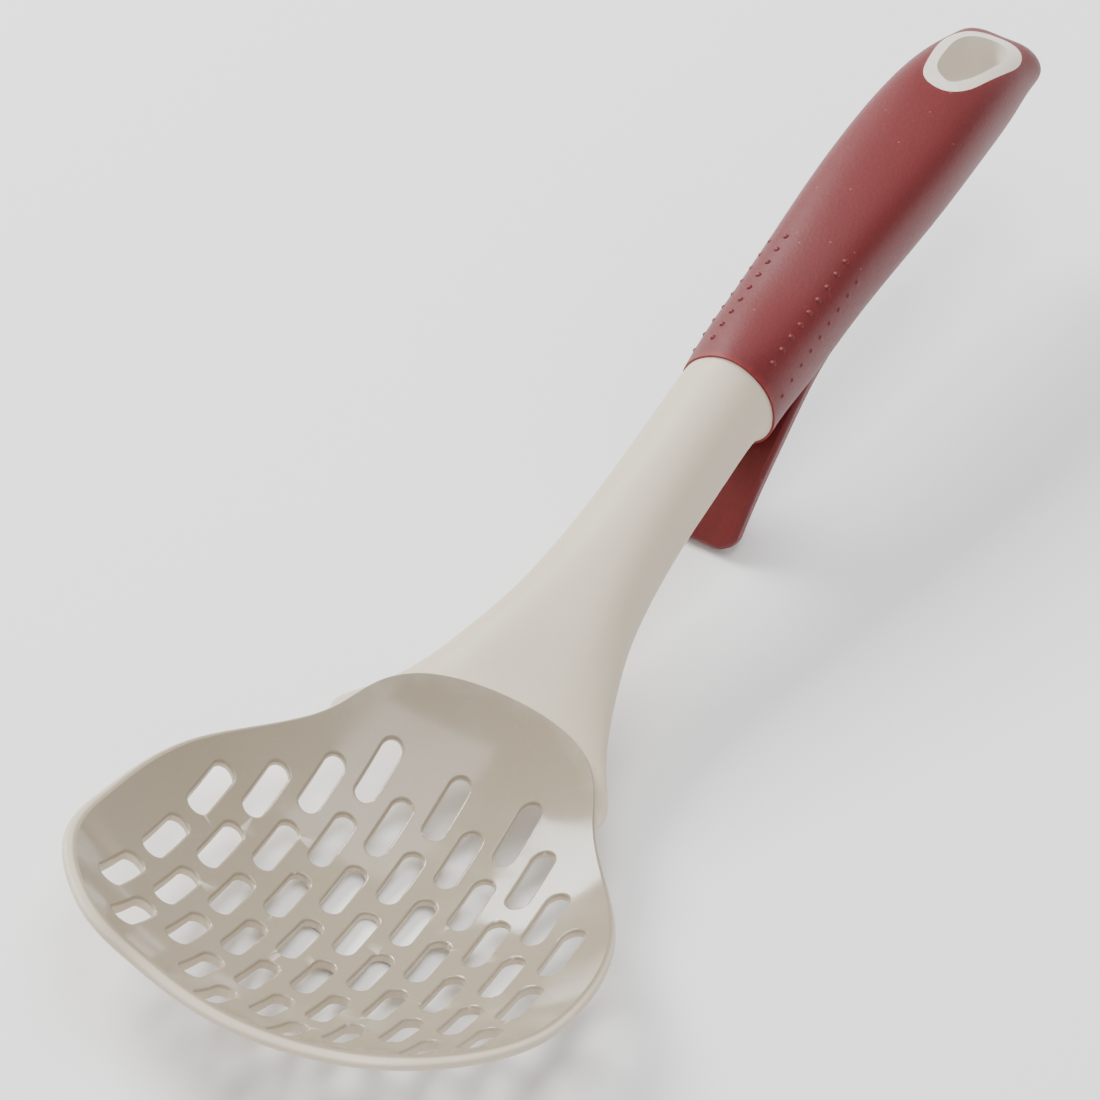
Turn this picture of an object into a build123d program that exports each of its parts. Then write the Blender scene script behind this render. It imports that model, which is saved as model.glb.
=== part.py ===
from build123d import *
import math
import os

# Slotted draining scoop: a one-piece nylon head whose tang snaps into a hard handle core,
# and a soft grip moulded over that core. Nothing on it moves.
#
# It is modelled with the bowl level: X runs from the bowl to the handle's end, Y across,
# Z up, and the zero point is the lowest spot on the outside of the bowl. At the end all
# pieces are tilted together, so that the scoop lies on its bowl and its rest tongue.

# ---- driving sizes (mm) -------------------------------------------------------------

# Bowl
bowl_inner_radius = 91.0
bowl_wall = 2.4
bowl_front_extra = 1.4  # the outer ball sits this much forward, for a stouter front edge
rim_side = (  # x and height along each side, from the front corner to the neck
    (-46.0, 28.6),
    (-14.0, 23.2),
    (16.0, 19.9),
    (43.0, 20.2),
    (64.0, 27.3),
)
rim_front = 22.3  # height in the middle of the front edge
rim_front_rise = 1.9  # how much higher it is part of the way to the corners
rim_front_share = 0.6
rim_corner_setback = 1.5
rim_outer_round = 1.0

# Drain slots, all along X, in staggered rows
slot_length = 15.0
slot_width = 4.9
slot_round = 0.6
slots_per_row = (3, 4, 5, 6, 5, 6, 5, 6, 5, 2)
slot_spacing = 17.6
row_step = 9.68
first_row_x = 38.7

# Neck: x, half width, height of its middle, half height
neck_sections = (
    (44.0, 33.2, 19.1, 2.2),
    (52.8, 31.6, 19.3, 4.3),
    (61.6, 26.4, 20.5, 5.2),
    (70.4, 22.2, 23.3, 6.3),
    (83.6, 17.6, 27.8, 8.2),
    (96.8, 14.4, 31.4, 9.6),
    (114.4, 12.3, 36.0, 10.8),
    (132.0, 11.5, 40.8, 11.3),
    (147.8, 11.3, 45.2, 11.4),
    (156.0, 11.3, 47.4, 11.4),
)

# Collar: the plane across the handle where the neck ends and the grip begins
collar_x = 164.6
collar_z = 48.7
collar_lean = 17.0  # degrees the handle's axis climbs there
neck_end_half_width = 11.4
neck_end_top = 12.4
neck_end_bottom = 17.0  # deeper below, where the neck meets the rest tongue
grip_step = 0.6  # how far the grip stands proud of the neck

# Grip: x, half width, top height, bottom height
grip_sections = (
    (184.0, 12.3, 65.0, 38.2),
    (206.0, 13.0, 70.0, 44.0),
    (224.0, 14.0, 73.5, 48.2),
    (249.0, 14.9, 77.0, 52.3),
    (270.0, 14.6, 78.6, 55.2),
    (288.0, 13.6, 76.8, 57.4),
    (302.0, 12.2, 73.0, 59.6),
    (307.6, 11.2, 70.6, 60.6),
    (309.5, 9.6, 69.0, 62.0),
)
grip_fullness = 0.77  # against 0.71 for an ellipse and 1.0 for a rectangle
true_oval = math.sqrt(0.5)
grip_end_round = 1.6
rubber = 2.0  # thickness of the soft layer over the core

# Rest tongue, which hooks over the rim of a pot: its middle line in the side view
tongue_line = (
    (196.0, 48.6),
    (185.2, 42.7),
    (176.4, 34.2),
    (167.2, 24.7),
    (159.7, 14.6),
    (157.3, 10.6),
)
tongue_half_width = 11.4
tongue_thickness = 3.6
tongue_corner = 5.0
tongue_edge_round = 1.2
blade_skin = 1.0  # soft layer all round the blade inside the tongue

# Tang, socket and snap barbs
tang_length = 42.0
tang_half_width = 7.4
tang_half_height = 5.8
tang_taper = 1.0  # how much each half size loses over the tang's length
tang_bore = 4.0
tang_corner = 3.0
neck_bore_depth = 62.0
socket_clearance = 0.1
barb_from_end = 10.0
barb_length = 6.0
barb_height = 5.0
barb_rise = 1.2
core_hollow_sections = (
    (203.0, 57.4, 6.5),
    (224.0, 61.5, 7.5),
    (249.0, 65.4, 7.5),
    (262.0, 67.0, 6.0),
)

# Hanging hole, a rounded triangle with its point towards the bowl, and the hard ring
# round it: x and half width in plan, from the point to the base
hole_outline = (
    (270.4, 0.0),
    (273.4, 3.7),
    (283.0, 6.3),
    (293.0, 7.2),
    (298.6, 5.4),
    (301.0, 0.0),
)
ring_outline = (
    (266.2, 0.0),
    (268.4, 4.6),
    (277.0, 7.7),
    (287.5, 9.4),
    (294.5, 9.6),
    (301.2, 6.9),
    (304.0, 0.0),
)
hole_draft = 7.0  # degrees, so that the hole is narrower below
hole_top = 80.0
hole_bottom = 52.0

# Grip nubs
nubs_per_row = 9
nub_step = 4.4
nub_first_x = 167.9
nub_upper = (7.9, 0.55, 0.85)  # distance from the middle, stand-off, radius
nub_lower = (11.7, 0.35, 0.7)

tilt_rounds = 4

os.makedirs("parts", exist_ok=True)

# ---- sizes that follow --------------------------------------------------------------

bowl_outer_radius = bowl_inner_radius + bowl_wall
bowl_centre_z = bowl_outer_radius
reach = 400.0
handle_axis = Vector(math.cos(math.radians(collar_lean)), 0, math.sin(math.radians(collar_lean)))
collar = Plane(origin=(collar_x, 0, collar_z), x_dir=(0, 1, 0), z_dir=handle_axis)
inner_ball = Plane(origin=(0, 0, bowl_centre_z), x_dir=(0, 0, 1), z_dir=(0, 1, 0))
outer_ball = Plane(origin=(-bowl_front_extra, 0, bowl_centre_z), x_dir=(0, 0, 1), z_dir=(0, 1, 0))
hole_narrowing = math.tan(math.radians(hole_draft))
barb_plane = Plane(origin=collar.origin, x_dir=handle_axis, z_dir=collar.y_dir)
barb_start = tang_length - barb_from_end - barb_length
rim_corner_x, rim_corner = rim_side[0]
# Half width of the level stretch between the two corners of the front edge
corner_reach = math.sqrt(bowl_inner_radius**2 - (bowl_centre_z - rim_corner) ** 2)
rim_corner_y = math.sqrt(corner_reach**2 - rim_corner_x**2) - rim_corner_setback


def across(x):
    """The upright plane across the scoop at x, with Y to its right and Z up."""
    return Plane(origin=(x, 0, 0), x_dir=(0, 1, 0), z_dir=(1, 0, 0))


def oval(half_width, top, bottom, fullness=true_oval):
    """Eight points round an oval section; a fuller one is squarer than an ellipse."""
    h = (top - bottom) / 2
    w, k = half_width, fullness
    ring = ((w, 0), (k * w, k * h), (0, h), (-k * w, k * h), (-w, 0), (-k * w, -k * h), (0, -h), (k * w, -k * h))
    return [(y, z + (top + bottom) / 2) for y, z in ring]


def closed_outline(outline, inset=0.0):
    """Points all round an outline given as x and half width, drawn in by an inset."""
    start, end = outline[0][0], outline[-1][0]
    middle = (start + end) / 2
    along = 1 - 2 * inset / (end - start)
    sideways = 1 - inset / max(half for _, half in outline)
    left = [(middle + (x - middle) * along, half * sideways) for x, half in outline]
    return left + [(x, -y) for x, y in reversed(left[1:-1])]


# ---- slotted head -------------------------------------------------------------------

with BuildPart() as neck:
    # It flares out under the rim. The bowl's hollow cuts it off behind a crisp lip.
    for x, half_width, middle, half_height in neck_sections:
        with BuildSketch(across(x)):
            with BuildLine():
                Spline(*oval(half_width, middle + half_height, middle - half_height), periodic=True)
            make_face()
    with BuildSketch(collar):
        with BuildLine():
            Spline(*oval(neck_end_half_width, neck_end_top, -neck_end_bottom), periodic=True)
        make_face()
    loft()
    with Locations(inner_ball):
        Sphere(bowl_inner_radius + bowl_wall / 2, mode=Mode.SUBTRACT)

with BuildPart() as slotted_head:
    # Bowl shell: two balls whose seams face up, where they are cut away
    with Locations(outer_ball):
        Sphere(bowl_outer_radius)
    with Locations(inner_ball):
        Sphere(bowl_inner_radius, mode=Mode.SUBTRACT)
    # Along the sides the rim dips towards the neck.
    with BuildSketch(Plane.XZ):
        with BuildLine():
            side_rim = Spline(*rim_side, tangents=((1, 0), (1, 0)))
            Polyline(
                side_rim @ 1,
                (reach, rim_side[-1][1]),
                (reach, reach),
                (-reach, reach),
                (-reach, rim_corner),
                side_rim @ 0,
            )
        make_face()
    extrude(amount=reach, both=True, mode=Mode.SUBTRACT)
    # The front edge dips between its two corners.
    with BuildSketch(across(rim_corner_x)):
        with BuildLine():
            front_rim = Spline(
                (-rim_corner_y, rim_corner),
                (-rim_front_share * rim_corner_y, rim_front + rim_front_rise),
                (0, rim_front),
                (rim_front_share * rim_corner_y, rim_front + rim_front_rise),
                (rim_corner_y, rim_corner),
                tangents=((1, 0), (1, 0)),
            )
            Polyline(front_rim @ 1, (rim_corner_y, reach), (-rim_corner_y, reach), front_rim @ 0)
        make_face()
    extrude(amount=-reach, mode=Mode.SUBTRACT)
    # Rim: a flat band with a rounded outer edge
    outside = slotted_head.faces().filter_by(GeomType.SPHERE).sort_by(SortBy.AREA)[-1]
    fillet(outside.outer_wire().edges(), radius=rim_outer_round)
    # Drain slots, with softened edges inside and out
    with BuildSketch(Plane.XY):
        for row, count in enumerate(slots_per_row):
            with Locations((first_row_x - row * row_step, 0)):
                with GridLocations(1, slot_spacing, 1, count):
                    SlotOverall(slot_length, slot_width)
    extrude(amount=reach, mode=Mode.SUBTRACT)
    slot_edges = [
        edge
        for face in slotted_head.faces().filter_by(GeomType.SPHERE)
        for wire in face.inner_wires()
        for edge in wire.edges()
    ]
    fillet(slot_edges, radius=slot_round)
    add(neck.part)
    # Tang, with a snap barb on each side, cored from its end far into the neck
    with BuildSketch(collar):
        RectangleRounded(2 * tang_half_width, 2 * tang_half_height, tang_corner)
    with BuildSketch(collar.offset(tang_length)):
        RectangleRounded(2 * (tang_half_width - tang_taper), 2 * (tang_half_height - tang_taper), tang_corner)
    loft()
    with BuildSketch(barb_plane):
        for side in (1, -1):
            with BuildLine():
                Polyline(
                    (barb_start, side * (tang_half_width - 2 * tang_taper)),
                    (barb_start, side * (tang_half_width - tang_taper + barb_rise)),
                    (barb_start + barb_length, side * (tang_half_width - tang_taper)),
                    (barb_start + barb_length, side * (tang_half_width - 2 * tang_taper)),
                    close=True,
                )
            make_face()
    extrude(amount=barb_height / 2, both=True)
    with BuildSketch(collar.offset(tang_length)):
        Circle(tang_bore)
    extrude(amount=-tang_length - neck_bore_depth, mode=Mode.SUBTRACT)


# ---- outside of the handle, shared by the core and the grip -------------------------

with BuildPart() as handle_form:
    with BuildSketch(collar):
        with BuildLine():
            Spline(
                *oval(
                    neck_end_half_width + grip_step,
                    neck_end_top + grip_step,
                    -neck_end_bottom - grip_step,
                ),
                periodic=True,
            )
        make_face()
    for x, half_width, top, bottom in grip_sections:
        with BuildSketch(across(x)):
            with BuildLine():
                Spline(*oval(half_width, top, bottom, grip_fullness), periodic=True)
            make_face()
    loft()
    end_edge = handle_form.faces().sort_by(Axis.X)[-1].edges()
    fillet(end_edge, radius=grip_end_round)

with BuildPart() as tongue:
    with BuildSketch(Plane.XZ):
        with BuildLine() as middle_line:
            Spline(*tongue_line)
        trace(middle_line.line, line_width=tongue_thickness)
    extrude(amount=tongue_half_width, both=True)
    tip = tongue.faces().filter_by(GeomType.PLANE).sort_by(Axis.Z)[0]
    fillet(tip.edges().filter_by(Axis.Y, reverse=True), radius=tongue_corner)
    broad = tongue.faces().sort_by(SortBy.AREA)[-2:]
    fillet(broad[0].edges() + broad[1].edges(), radius=tongue_edge_round)

# ---- handle core --------------------------------------------------------------------

with BuildPart() as core_form:
    # Body, a layer of rubber smaller than the handle all round
    with BuildSketch(collar):
        with BuildLine():
            Spline(
                *oval(
                    neck_end_half_width + grip_step - rubber,
                    neck_end_top + grip_step - rubber,
                    rubber - neck_end_bottom - grip_step,
                ),
                periodic=True,
            )
        make_face()
    for x, half_width, top, bottom in grip_sections[:-1]:
        with BuildSketch(across(x)):
            with BuildLine():
                Spline(*oval(half_width - rubber, top - rubber, bottom + rubber, grip_fullness), periodic=True)
            make_face()
    loft()
    # Boss of the hanging hole, flush with the outside above and below
    with BuildSketch(Plane.XY):
        with BuildLine():
            Spline(*closed_outline(ring_outline), periodic=True)
        make_face()
    extrude(amount=reach)
    add(handle_form.part, mode=Mode.INTERSECT)
    # Blade inside the rest tongue
    with BuildSketch(Plane.XZ):
        with BuildLine() as blade_line:
            Spline(*tongue_line[:-1])
        trace(blade_line.line, line_width=tongue_thickness - 2 * blade_skin)
    extrude(amount=tongue_half_width - 2 * blade_skin, both=True)

with BuildPart() as handle_core:
    add(core_form.part)
    # Socket for the tang, with a window for each barb, and the hollow behind it
    with BuildSketch(collar):
        RectangleRounded(
            2 * (tang_half_width + socket_clearance),
            2 * (tang_half_height + socket_clearance),
            tang_corner,
        )
    with BuildSketch(collar.offset(tang_length + 5 * socket_clearance)):
        RectangleRounded(
            2 * (tang_half_width - tang_taper + socket_clearance),
            2 * (tang_half_height - tang_taper + socket_clearance),
            tang_corner,
        )
    loft(mode=Mode.SUBTRACT)
    with BuildSketch(barb_plane):
        with Locations((barb_start + barb_length / 2, 0)):
            Rectangle(
                barb_length + 2 * socket_clearance,
                2 * (tang_half_width - tang_taper + barb_rise + 2 * socket_clearance),
            )
    extrude(amount=barb_height / 2 + socket_clearance, both=True, mode=Mode.SUBTRACT)
    for x, middle, half in core_hollow_sections:
        with BuildSketch(across(x)):
            with BuildLine():
                Spline(*oval(half, middle + half, middle - half), periodic=True)
            make_face()
    loft(mode=Mode.SUBTRACT)
    # Hanging hole
    for height in (hole_top, hole_bottom):
        with BuildSketch(Plane.XY.offset(height)):
            with BuildLine():
                Spline(*closed_outline(hole_outline, (hole_top - height) * hole_narrowing), periodic=True)
            make_face()
    loft(mode=Mode.SUBTRACT)


# ---- soft grip ----------------------------------------------------------------------

with BuildPart() as soft_grip:
    add(handle_form.part)
    add(tongue.part)
    # Each nub is a small ball sunk in the surface, its poles and seam hidden inside
    for row_y, proud, radius in (nub_upper, nub_lower):
        nub_planes = []
        for side in (1, -1):
            for step in range(nubs_per_row):
                spot = (nub_first_x + step * nub_step, side * row_y, reach / 2)
                hits = handle_form.part.find_intersection_points(Axis(spot, (0, 0, -1)))
                point, normal = max(hits, key=lambda hit: hit[0].Z)
                centre = point - normal * (radius - proud)
                nub_planes.append(Plane(origin=centre, x_dir=-normal, z_dir=normal.cross(handle_axis)))
        with Locations(*nub_planes):
            Sphere(radius)
    add(core_form.part, mode=Mode.SUBTRACT)


# ---- at rest on a table -------------------------------------------------------------

# The scoop lies on the ball of its bowl and on the tongue's tip. The tilt is corrected
# until both touch; then the origin goes to the middle of the underside of the whole.
ball_centre = Vector(-bowl_front_extra, 0, bowl_centre_z)
tilt = 0.0
for _ in range(tilt_rounds):
    turn = Location((0, 0, 0), (0, tilt, 0))
    tip_floor = soft_grip.part.moved(turn).bounding_box().min.Z
    ball_floor = (turn * Location(ball_centre)).position.Z - bowl_outer_radius
    tilt += math.degrees((tip_floor - ball_floor) / collar_x)

slotted_head.part = slotted_head.part.rotate(Axis.Y, tilt)
handle_core.part = handle_core.part.rotate(Axis.Y, tilt)
soft_grip.part = soft_grip.part.rotate(Axis.Y, tilt)
boxes = [piece.part.bounding_box() for piece in (slotted_head, handle_core, soft_grip)]
low_x = min(box.min.X for box in boxes)
high_x = max(box.max.X for box in boxes)
floor = min(box.min.Z for box in boxes)
to_origin = Vector(-(low_x + high_x) / 2, 0, -floor)
slotted_head.part = slotted_head.part.translate(to_origin)
handle_core.part = handle_core.part.translate(to_origin)
soft_grip.part = soft_grip.part.translate(to_origin)
slotted_head.part.label = "slotted_head"
handle_core.part.label = "handle_core"
soft_grip.part.label = "soft_grip"
export_step(slotted_head.part, "parts/slotted_head.step")
export_step(handle_core.part, "parts/handle_core.step")
export_step(soft_grip.part, "parts/soft_grip.step")
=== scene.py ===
import bpy
from mathutils import Matrix, Vector

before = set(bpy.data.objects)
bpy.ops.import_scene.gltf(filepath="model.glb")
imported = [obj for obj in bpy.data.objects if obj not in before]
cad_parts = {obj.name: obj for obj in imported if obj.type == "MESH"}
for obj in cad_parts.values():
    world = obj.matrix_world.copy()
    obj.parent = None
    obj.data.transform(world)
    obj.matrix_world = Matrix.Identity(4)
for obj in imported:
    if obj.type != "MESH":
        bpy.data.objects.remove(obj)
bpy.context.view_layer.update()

# ---- camera: long lens, from above and in front of the bowl, a little to one side -----

CAMERA_PLACE = Vector((-0.99673, -0.39512, 0.98903))
CAMERA_RIGHT = Vector((0.47433, -0.87340, 0.11078))
CAMERA_UP = Vector((0.55547, 0.39450, 0.73206))
CAMERA_BACK = Vector((-0.68307, -0.28560, 0.67217))
LENS, SENSOR = 207.1, 36.0  # mm
NEAREST, FARTHEST = 0.05, 20.0
camera_data = bpy.data.cameras.new("camera")
camera_data.lens = LENS
camera_data.sensor_width = SENSOR
camera_data.clip_start, camera_data.clip_end = NEAREST, FARTHEST
camera = bpy.data.objects.new("camera", camera_data)
bpy.context.scene.collection.objects.link(camera)
camera_axes = [axis.normalized() for axis in (CAMERA_RIGHT, CAMERA_UP, CAMERA_BACK)]
turn = Matrix(camera_axes).transposed()
camera.matrix_world = Matrix.Translation(CAMERA_PLACE) @ turn.to_4x4()
bpy.context.scene.camera = camera


# ---- measures (m) and finishes (linear colours) ------------------------------------------

# The bowl's hollow is part of a ball. The gloss inside it, and the painted shade that darkens its
# cream, fade out just outside the skin.
BALL_CENTRE = (-0.12143, 0.0, 0.09331)
BOWL_RADIUS = 0.0910
GLOSS_FULL = BOWL_RADIUS + 0.0002
GLOSS_GONE = BOWL_RADIUS + 0.0009

NECK_CREAM = ((0.57, 0.48, 0.355), (0.64, 0.55, 0.42))
# The bowl's cream is the neck's nylon painted darker: painted shade inside the hollow.
BOWL_CREAM_SHADED = ((0.29, 0.24, 0.165), (0.35, 0.295, 0.21))
CREAM_SPECK = (0.45, 0.41, 0.34)
# Paler cream for the painted highlight along outside edges.
CREAM_EDGE_HIGHLIGHT = (0.78, 0.71, 0.60)
RING_CREAM = ((0.64, 0.575, 0.475), (0.74, 0.68, 0.585))
RING_FLECK = (0.42, 0.38, 0.31)
# Paler cream for the painted highlight along outside edges.
RING_EDGE_HIGHLIGHT = (0.84, 0.82, 0.77)
GRIP_RED = ((0.095, 0.0008, 0.0012), (0.135, 0.0016, 0.0022))
RED_SPECK = (0.23, 0.012, 0.015)
RED_DUST = (0.40, 0.14, 0.14)
# Brighter red for the painted highlight along outside edges.
RED_EDGE_HIGHLIGHT = (0.33, 0.02, 0.02)
FLOOR_WHITE = ((0.93, 0.93, 0.93), (0.96, 0.96, 0.955))

PLASTIC_GRAIN = 0.0001  # heights of the fine surface grain
NYLON_GRAIN = 0.00012
RUBBER_GRAIN = 0.00016
PAPER_GRAIN = 0.00005
FLECK_CORE = 0.6  # share of a fleck's radius that is solid

# name, place, what it faces, size, power (W)
LAMPS = (
    ("key", (0.35, 1.3, 1.1), (0.05, 0, 0.04), (0.9, 0.7), 46.0),
    ("top", (0.0, 0.1, 1.9), (0, 0, 0), (1.6, 1.2), 27.0),
    ("fill", (-1.5, -0.9, 0.9), (-0.05, 0, 0.03), (1.2, 0.8), 5.0),
    ("side", (0.5, -1.6, 0.5), (0.05, 0, 0.03), (0.5, 0.9), 0.8),
)
FLOOR_SIZE = 8.0
SKY_COLOUR = (0.95, 0.96, 1.0, 1.0)
SKY_STRENGTH = 0.6

# ---- materials ------------------------------------------------------------------------

class Val:
    """A number flowing through a material; sums and products of it make the nodes."""

    def __init__(self, kit, socket):
        self.kit, self.socket = kit, socket

    def math(self, kind, other=None, first=None):
        a, b = (self, other) if first is None else (first, self)
        return self.kit.node("ShaderNodeMath", 0, dict(operation=kind), a, b)

    def __add__(self, other): return self.math("ADD", other)
    def __radd__(self, other): return self.math("ADD", other)
    def __sub__(self, other): return self.math("SUBTRACT", other)
    def __rsub__(self, other): return self.math("SUBTRACT", first=other)
    def __mul__(self, other): return self.math("MULTIPLY", other)
    def __rmul__(self, other): return self.math("MULTIPLY", other)

    def ramp(self, low, high):
        """0 below low, 1 above high, smooth between."""
        return self.kit.node("ShaderNodeMapRange", 0, dict(interpolation_type="SMOOTHSTEP"),
                             self, low, high, 0.0, 1.0)


class Kit:
    """The node tree of one material."""

    def __init__(self, name, **fixed):
        self.material = bpy.data.materials.new(name)
        self.material.use_nodes = True
        self.tree = self.material.node_tree
        self.shader = self.tree.nodes["Principled BSDF"]
        for socket, value in fixed.items():
            self.shader.inputs[socket.replace("_", " ")].default_value = value
        self.where = self.node("ShaderNodeTexCoord", "Object", {})

    def put(self, socket, value):
        """Links a Val to a socket, or sets a plain value on it."""
        if isinstance(value, Val):
            self.tree.links.new(value.socket, socket)
        elif value is not None:
            socket.default_value = value

    def node(self, kind, output, settings, *sockets, **named):
        """Adds a node: its settings first, then the values or links of its sockets."""
        made = self.tree.nodes.new(kind)
        for key, value in settings.items():
            setattr(made, key, value)
        for socket, value in zip(made.inputs, sockets):
            self.put(socket, value)
        for key, value in named.items():
            self.put(made.inputs[key.replace("_", " ")], value)
        return Val(self, made.outputs[output])

    def noise(self, scale, detail=3.0, rough=0.5):
        """Soft cloudy variation, finer for a larger scale (features per metre)."""
        return self.node("ShaderNodeTexNoise", 0, {}, self.where,
                         Scale=scale, Detail=detail, Roughness=rough)

    def flecks(self, scale, radius):
        """Small scattered round spots, 1 inside and 0 outside."""
        near = self.node("ShaderNodeTexVoronoi", 0, {}, self.where, Scale=scale, Randomness=1.0)
        return 1.0 - near.ramp(radius * FLECK_CORE, radius)

    def mix(self, share, one, two):
        """A share of the way from one colour to another."""
        made = self.tree.nodes.new("ShaderNodeMix")
        made.data_type = "RGBA"
        self.put(made.inputs[0], share)
        for socket, value in ((made.inputs[6], one), (made.inputs[7], two)):
            self.put(socket, value if isinstance(value, Val) else (*value, 1.0))
        return Val(self, made.outputs[2])

    def edges(self, low, high):
        """1 on outside edges, where highlights are painted, 0 on flat faces."""
        point = self.node("ShaderNodeNewGeometry", "Pointiness", {})
        return point.ramp(low, high)

    def away_from(self, place):
        """Distance from a fixed place."""
        made = self.tree.nodes.new("ShaderNodeVectorMath")
        made.operation = "DISTANCE"
        self.put(made.inputs[0], self.where)
        made.inputs[1].default_value = place
        return Val(self, made.outputs["Value"])

    def finish(self, colour, roughness, height, depth, strength):
        """Joins colour, roughness and grain to the shader and gives the material."""
        bump = self.node("ShaderNodeBump", 0, {}, Strength=strength, Distance=depth, Height=height)
        self.put(self.shader.inputs["Base Color"], colour)
        self.put(self.shader.inputs["Roughness"], roughness)
        self.put(self.shader.inputs["Normal"], bump)
        return self.material


def cream_nylon():
    """Warm cream nylon, glossy and darkened by painted shade inside the bowl, fine matte on the
    neck.
    """
    kit = Kit("cream_nylon", IOR=1.5, Specular_IOR_Level=0.5)
    inside = 1.0 - kit.away_from(BALL_CENTRE).ramp(GLOSS_FULL, GLOSS_GONE)
    cloud = kit.noise(22.0, 4.0)
    speck = kit.noise(900.0, 2.0)
    neck = kit.mix(cloud, *NECK_CREAM)
    bowl = kit.mix(cloud, *BOWL_CREAM_SHADED)
    # Inside the bowl the darker cream is painted shade.
    colour = kit.mix(inside, neck, bowl)
    colour = kit.mix(speck.ramp(0.55, 0.8) * 0.12, colour, CREAM_SPECK)
    # Paler cream on outside edges: a painted highlight.
    colour = kit.mix(kit.edges(0.52, 0.60) * 0.5, colour, CREAM_EDGE_HIGHLIGHT)
    smear = kit.noise(60.0, 5.0, 0.6).ramp(0.45, 0.75)
    rough = inside * (0.12 + smear * 0.12) + (1.0 - inside) * (0.48 + speck * 0.10)
    grain = kit.noise(1500.0, 2.0) * (1.0 - inside) + kit.noise(35.0, 2.0) * inside * 0.6
    return kit.finish(colour, rough, grain, NYLON_GRAIN, 0.35)


def cream_plastic():
    """Warm cream hard plastic round the hanging hole, with a painted highlight along its edges."""
    kit = Kit("cream_plastic", IOR=1.49)
    cloud = kit.noise(40.0, 4.0)
    speck = kit.noise(1100.0, 2.0)
    colour = kit.mix(cloud, *RING_CREAM)
    colour = kit.mix(kit.flecks(260.0, 0.10) * 0.25, colour, RING_FLECK)
    # Paler cream on outside edges: a painted highlight.
    colour = kit.mix(kit.edges(0.52, 0.62) * 0.4, colour, RING_EDGE_HIGHLIGHT)
    rough = 0.38 + speck * 0.12
    return kit.finish(colour, rough, kit.noise(1400.0, 2.0), PLASTIC_GRAIN, 0.3)


def red_rubber():
    """Deep red soft-touch rubber: satin, finely grained, with a few pale dust flecks."""
    kit = Kit("red_rubber", IOR=1.5, Sheen_Weight=0.1, Sheen_Roughness=0.45,
              Sheen_Tint=(1.0, 0.75, 0.75, 1.0))
    cloud = kit.noise(18.0, 5.0)
    speck = kit.noise(1300.0, 3.0)
    colour = kit.mix(cloud, *GRIP_RED)
    colour = kit.mix(speck.ramp(0.5, 0.8) * 0.25, colour, RED_SPECK)
    colour = kit.mix(kit.flecks(210.0, 0.07) * 0.35, colour, RED_DUST)
    # Brighter red on outside edges: a painted highlight.
    colour = kit.mix(kit.edges(0.53, 0.62) * 0.35, colour, RED_EDGE_HIGHLIGHT)
    rough = 0.44 + cloud * 0.08 + speck * 0.10
    return kit.finish(colour, rough, kit.noise(1200.0, 3.0), RUBBER_GRAIN, 0.4)


def pale_floor():
    """Plain pale paper, faintly mottled."""
    kit = Kit("pale_floor", Specular_IOR_Level=0.2)
    colour = kit.mix(kit.noise(3.0, 3.0), *FLOOR_WHITE)
    rough = 0.85 + kit.noise(40.0) * 0.1
    return kit.finish(colour, rough, kit.noise(500.0), PAPER_GRAIN, 0.2)


finishes = {"slotted_head": cream_nylon(), "handle_core": cream_plastic(), "soft_grip": red_rubber()}
for name, material in finishes.items():
    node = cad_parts[name]
    node.data.materials.clear()
    node.data.materials.append(material)

# ---- floor and soft studio light -------------------------------------------------------

bpy.ops.mesh.primitive_plane_add(size=FLOOR_SIZE, location=(0, 0, 0))
floor = bpy.context.active_object
floor.name = "floor"
floor.data.materials.append(pale_floor())


def lamp(name, place, target, size, power):
    """A large soft lamp at a place, facing a target."""
    data = bpy.data.lights.new(name, "AREA")
    data.shape = "RECTANGLE"
    data.size, data.size_y = size
    data.energy = power
    made = bpy.data.objects.new(name, data)
    made.location = place
    made.rotation_mode = "QUATERNION"
    made.rotation_quaternion = (Vector(place) - Vector(target)).to_track_quat("Z", "Y")
    bpy.context.scene.collection.objects.link(made)


for settings in LAMPS:
    lamp(*settings)

world = bpy.data.worlds.new("world")
bpy.context.scene.world = world
world.use_nodes = True
world.node_tree.nodes["Background"].inputs["Color"].default_value = SKY_COLOUR
world.node_tree.nodes["Background"].inputs["Strength"].default_value = SKY_STRENGTH
